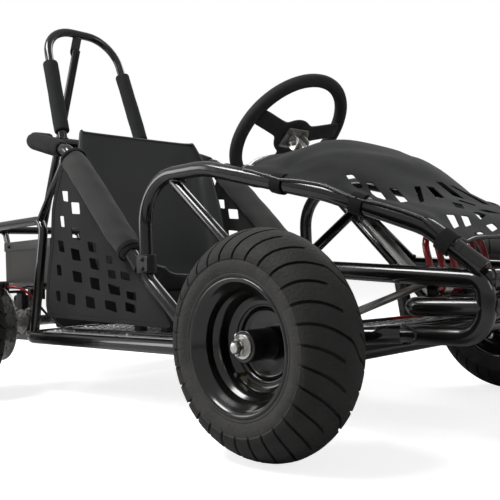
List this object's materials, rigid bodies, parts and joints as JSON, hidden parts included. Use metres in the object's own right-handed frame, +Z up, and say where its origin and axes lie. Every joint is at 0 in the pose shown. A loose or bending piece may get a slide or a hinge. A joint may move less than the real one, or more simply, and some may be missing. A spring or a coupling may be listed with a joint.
{
  "type": "off road go kart",
  "caption": "Off road go kart with a tube frame, bucket seat, padded roll bar, cloth side nets and hood, knobbly tyres, direct steering and a chain driven rear axle.",
  "frame": {"origin": "on the ground, under the middle of the kart's length and width", "axes": "+X to the front of the kart, +Y to the driver's left, +Z up"},
  "size_m": [1.5364, 0.886, 0.955],
  "materials": {
    "gloss_black": "gloss black powder coat",
    "satin_black": "satin black",
    "tyre_rubber": "dark grey, moulded tread",
    "seat_plastic": "matte black, fine grain",
    "pad_cloth": "black cloth over foam",
    "net_cloth": "dark grey woven cloth",
    "grip_foam": "matte black foam",
    "bright_steel": "zinc plated",
    "grey_metal": "grey plated",
    "chequer_aluminium": "chequer plate",
    "box_grey": "grey brown paint",
    "cell_grey": "matte grey",
    "gloss_red": "gloss red powder coat",
    "cable_red": "gloss red sheath"
  },
  "bodies": {
    "chassis": {"lower_frame": "gloss_black", "floor_pan": "chequer_aluminium", "front_axle_beam": "gloss_black", "nose_frame": "gloss_black", "rear_guard": "gloss_black", "roll_bar": "gloss_black", "hoop_stay": "gloss_black", "hood_cover": "net_cloth", "seat_shell": "seat_plastic", "seat_stand": "satin_black", "column_support": "gloss_black", "drive_motor": "satin_black", "drive_chain": "grey_metal", "brake_caliper": "satin_black", "battery_box": "box_grey", "battery_box_lid": "box_grey", "battery_pack": "cell_grey", "brake_cable": "cable_red", "right_side_rail": "gloss_black", "right_hoop_pad": "pad_cloth", "right_bar_sleeve": "pad_cloth", "right_shoulder_pad": "pad_cloth", "right_side_net": "net_cloth", "right_kingpin": "bright_steel", "right_axle_bearing": "grey_metal", "left_side_rail": "gloss_black", "left_hoop_pad": "pad_cloth", "left_bar_sleeve": "pad_cloth", "left_shoulder_pad": "pad_cloth", "left_side_net": "net_cloth", "left_kingpin": "bright_steel", "left_axle_bearing": "grey_metal"},
    "steering": {"steering_wheel": "grip_foam", "steering_hub_plate": "grey_metal", "steering_column": "bright_steel"},
    "rear_axle_set": {"rear_axle": "bright_steel", "right_rear_tyre": "tyre_rubber", "left_rear_tyre": "tyre_rubber", "right_rear_rim": "gloss_black", "left_rear_rim": "gloss_black", "right_rear_castle_nut": "bright_steel", "left_rear_castle_nut": "bright_steel", "rear_sprocket": "bright_steel", "brake_disc": "bright_steel"},
    "motor_shaft": {"motor_pinion": "bright_steel"},
    "throttle": {"throttle_pedal": "gloss_red"},
    "brake": {"brake_pedal": "gloss_red"},
    "right_steering_knuckle": {"right_knuckle": "satin_black", "right_front_castle_nut": "bright_steel"},
    "right_steering_rod": {"right_tie_rod": "grey_metal"},
    "right_front_wheel": {"right_front_tyre": "tyre_rubber", "right_front_rim": "gloss_black", "right_front_bearing_set": "bright_steel"},
    "left_steering_knuckle": {"left_knuckle": "satin_black", "left_front_castle_nut": "bright_steel"},
    "left_steering_rod": {"left_tie_rod": "grey_metal"},
    "left_front_wheel": {"left_front_tyre": "tyre_rubber", "left_front_rim": "gloss_black", "left_front_bearing_set": "bright_steel"}
  },
  "joints": [
    {"name": "steering_turn", "type": "hinge", "parent": "chassis", "child": "steering", "pos_m": [0.2475, 0, 0.544], "axis": [0.6947, 0, -0.7193], "range_deg": [-36, 36]},
    {"name": "right_kingpin_turn", "type": "hinge", "parent": "chassis", "child": "right_steering_knuckle", "pos_m": [0.5145, -0.29, 0.1638], "axis": [0, 0, 1], "range_deg": [-21.5, 21.5]},
    {"name": "right_rod_turn", "type": "hinge", "parent": "right_steering_knuckle", "child": "right_steering_rod", "pos_m": [0.5905, -0.29, 0.1938], "axis": [0, 0, 1], "range_deg": [-21.5, 21.5]},
    {"name": "right_front_wheel_roll", "type": "hinge", "parent": "right_steering_knuckle", "child": "right_front_wheel", "pos_m": [0.5145, -0.3725, 0.1638], "axis": [0, 1, 0], "continuous": true},
    {"name": "left_kingpin_turn", "type": "hinge", "parent": "chassis", "child": "left_steering_knuckle", "pos_m": [0.5145, 0.29, 0.1638], "axis": [0, 0, 1], "range_deg": [-21.5, 21.5]},
    {"name": "left_rod_turn", "type": "hinge", "parent": "left_steering_knuckle", "child": "left_steering_rod", "pos_m": [0.5905, 0.29, 0.1938], "axis": [0, 0, 1], "range_deg": [-21.5, 21.5]},
    {"name": "left_front_wheel_roll", "type": "hinge", "parent": "left_steering_knuckle", "child": "left_front_wheel", "pos_m": [0.5145, 0.3725, 0.1638], "axis": [0, 1, 0], "continuous": true},
    {"name": "rear_axle_roll", "type": "hinge", "parent": "chassis", "child": "rear_axle_set", "pos_m": [-0.4755, 0, 0.1638], "axis": [0, 1, 0], "continuous": true},
    {"name": "motor_shaft_turn", "type": "hinge", "parent": "chassis", "child": "motor_shaft", "pos_m": [-0.3475, 0.24, 0.205], "axis": [0, 1, 0], "continuous": true},
    {"name": "throttle_press", "type": "hinge", "parent": "chassis", "child": "throttle", "pos_m": [0.6265, -0.056, 0.2315], "axis": [0, 1, 0], "range_deg": [0, 20], "stiffness_Nm_per_rad": 3, "springref_deg": -14.32},
    {"name": "brake_press", "type": "hinge", "parent": "chassis", "child": "brake", "pos_m": [0.6265, 0.056, 0.2315], "axis": [0, 1, 0], "range_deg": [0, 20], "stiffness_Nm_per_rad": 4, "springref_deg": -14.32}
  ],
  "couplings": [
    {"joint": "right_kingpin_turn", "follows": "steering_turn", "ratio": -0.5921},
    {"joint": "left_kingpin_turn", "follows": "steering_turn", "ratio": -0.5921},
    {"joint": "right_rod_turn", "follows": "steering_turn", "ratio": 0.5921},
    {"joint": "left_rod_turn", "follows": "steering_turn", "ratio": 0.5921},
    {"joint": "motor_shaft_turn", "follows": "rear_axle_roll", "ratio": 4.9091}
  ]
}
